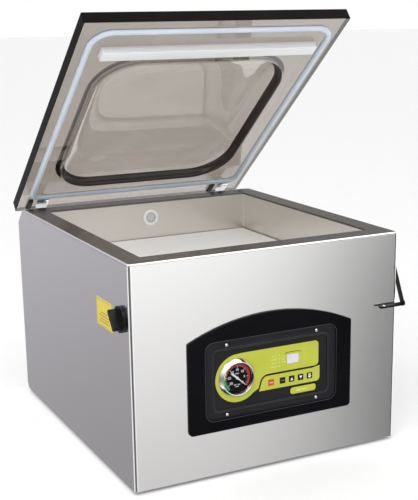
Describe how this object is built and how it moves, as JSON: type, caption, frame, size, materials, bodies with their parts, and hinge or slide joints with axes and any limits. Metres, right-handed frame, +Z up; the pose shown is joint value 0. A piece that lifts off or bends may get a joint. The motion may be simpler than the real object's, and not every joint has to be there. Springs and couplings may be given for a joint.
{
  "type": "chamber vacuum sealer",
  "caption": "Countertop chamber vacuum sealer: steel cabinet with a sunken chamber and seal bar, hinged clear domed lid, dial gauge, key panel, side switch and lid latch.",
  "frame": {"origin": "on the worktop, under the middle of the whole machine with its lid open", "axes": "+X to the machine's right as its user faces it, +Y from front to back, +Z up"},
  "size_m": [0.5315, 0.6256, 0.7515],
  "materials": {
    "cabinet_steel": "fine vertical brushed stainless",
    "deck_steel": "satin brushed stainless",
    "chamber_steel": "satin drawn stainless",
    "pan_steel": "matt grey powder coat",
    "rubber_black": "moulded black rubber",
    "vent_white": "moulded white plastic",
    "filler_white": "milled white polyethylene",
    "bare_steel": "turned steel",
    "bar_aluminium": "extruded satin aluminium",
    "heating_strip": "flat resistance wire",
    "tape_brown": "woven non-stick tape",
    "acrylic_smoked": "thick smoke-tinted clear acrylic",
    "silicone_clear": "translucent silicone",
    "silicone_white": "white silicone",
    "chrome_plate": "bright chrome plate",
    "block_steel": "zinc grey",
    "fascia_black": "high gloss black",
    "panel_charcoal": "satin charcoal",
    "overlay_green": "printed polyester film",
    "display_pale": "pale display window",
    "case_black": "black moulding",
    "dial_black": "printed dial",
    "needle_white": "white paint",
    "gauge_lens": "clear lens",
    "key_red": "red key",
    "key_black": "black key",
    "label_yellow": "printed yellow plate",
    "knob_black": "black thermoplastic",
    "latch_black": "black powder coat",
    "pump_grey": "painted casting",
    "motor_blue": "enamelled housing",
    "rotor_steel": "laminated steel and fan",
    "cowl_grey": "pressed steel",
    "filter_grey": "coated canister",
    "hose_grey": "reinforced hose",
    "valve_brass": "brass valve and coil",
    "core_brown": "varnished core and winding",
    "board_green": "glass-fibre board and parts",
    "capacitor_grey": "aluminium can"
  },
  "bodies": {
    "cabinet": {"cabinet_wrap": "cabinet_steel", "rear_panel": "cabinet_steel", "base_pan": "pan_steel", "feet": "rubber_black", "deck_plate": "deck_steel", "chamber_tub": "chamber_steel", "vent_cover": "vent_white", "lift_cylinders": "bare_steel", "hinge_blocks": "block_steel", "hinge_pins": "bare_steel", "lid_springs": "bare_steel", "fascia": "fascia_black", "screw_frame": "panel_charcoal", "control_plate": "panel_charcoal", "control_overlay": "overlay_green", "display_window": "display_pale", "mode_label": "overlay_green", "fascia_screws": "chrome_plate", "gauge_case": "case_black", "gauge_bezel": "chrome_plate", "gauge_dial": "dial_black", "gauge_glass": "gauge_lens", "warning_plate": "label_yellow", "switch_body": "case_black", "latch_stud": "bare_steel", "power_inlet": "case_black", "vacuum_pump": "pump_grey", "pump_motor": "motor_blue", "fan_cowl": "cowl_grey", "exhaust_filter": "filter_grey", "vacuum_hose": "hose_grey", "release_valve": "valve_brass", "transformer": "core_brown", "circuit_board": "board_green", "run_capacitor": "capacitor_grey"},
    "lid": {"lid_panel": "acrylic_smoked", "lid_gasket": "silicone_clear", "pad_holder": "bar_aluminium", "seal_pad": "silicone_white", "hinge_arms": "chrome_plate", "lid_bumpers": "rubber_black", "lid_bolts": "bare_steel", "lid_washers": "rubber_black"},
    "seal_bar": {"seal_bar": "bar_aluminium", "seal_plungers": "bare_steel", "heating_band": "heating_strip", "seal_tape": "tape_brown"},
    "lower_filler": {"filler_plate_lower": "filler_white"},
    "upper_filler": {"filler_plate_upper": "filler_white"},
    "needle": {"gauge_needle": "needle_white"},
    "knob": {"switch_knob": "knob_black"},
    "latch": {"latch_arm": "latch_black", "latch_rivet": "chrome_plate"},
    "rotor": {"motor_fan": "rotor_steel"},
    "key_stop": {"key_stop": "key_red"},
    "key_set": {"key_set": "key_black"},
    "key_up": {"key_up": "key_black"},
    "key_down": {"key_down": "key_black"},
    "key_hand": {"key_hand": "key_black"}
  },
  "joints": [
    {"name": "lid_hinge", "type": "hinge", "parent": "cabinet", "child": "lid", "pos_m": [0, 0.258, 0.339], "axis": [1, 0, 0], "range_deg": [0, 39.6], "stiffness_Nm_per_rad": 16, "springref_deg": -68.75},
    {"name": "seal_lift", "type": "slide", "parent": "cabinet", "child": "seal_bar", "axis": [0, 0, 1], "range_m": [0, 0.01]},
    {"name": "lower_filler_lift", "type": "slide", "parent": "cabinet", "child": "lower_filler", "axis": [0, 0, 1], "range_m": [0, 0.03]},
    {"name": "upper_filler_lift", "type": "slide", "parent": "lower_filler", "child": "upper_filler", "axis": [0, 0, 1], "range_m": [0, 0.03]},
    {"name": "needle_turn", "type": "hinge", "parent": "cabinet", "child": "needle", "pos_m": [-0.066, -0.3026, 0.1695], "axis": [0, -1, 0], "range_deg": [0, 260], "stiffness_Nm_per_rad": 0.00002},
    {"name": "switch_turn", "type": "hinge", "parent": "cabinet", "child": "knob", "pos_m": [-0.25, -0.268, 0.287], "axis": [1, 0, 0], "range_deg": [0, 90]},
    {"name": "latch_swing", "type": "hinge", "parent": "cabinet", "child": "latch", "pos_m": [0.256, -0.26954, 0.33547], "axis": [-1, 0, 0], "range_deg": [0, 190.8]},
    {"name": "fan_spin", "type": "hinge", "parent": "cabinet", "child": "rotor", "pos_m": [0, 0.06, 0.098], "axis": [1, 0, 0], "continuous": true},
    {"name": "key_stop_press", "type": "slide", "parent": "cabinet", "child": "key_stop", "axis": [0, 1, 0], "range_m": [0, 0.0006], "stiffness_N_per_m": 500, "springref_m": -0.001},
    {"name": "key_set_press", "type": "slide", "parent": "cabinet", "child": "key_set", "axis": [0, 1, 0], "range_m": [0, 0.0006], "stiffness_N_per_m": 500, "springref_m": -0.001},
    {"name": "key_up_press", "type": "slide", "parent": "cabinet", "child": "key_up", "axis": [0, 1, 0], "range_m": [0, 0.0006], "stiffness_N_per_m": 500, "springref_m": -0.001},
    {"name": "key_down_press", "type": "slide", "parent": "cabinet", "child": "key_down", "axis": [0, 1, 0], "range_m": [0, 0.0006], "stiffness_N_per_m": 500, "springref_m": -0.001},
    {"name": "key_hand_press", "type": "slide", "parent": "cabinet", "child": "key_hand", "axis": [0, 1, 0], "range_m": [0, 0.0006], "stiffness_N_per_m": 500, "springref_m": -0.001}
  ]
}
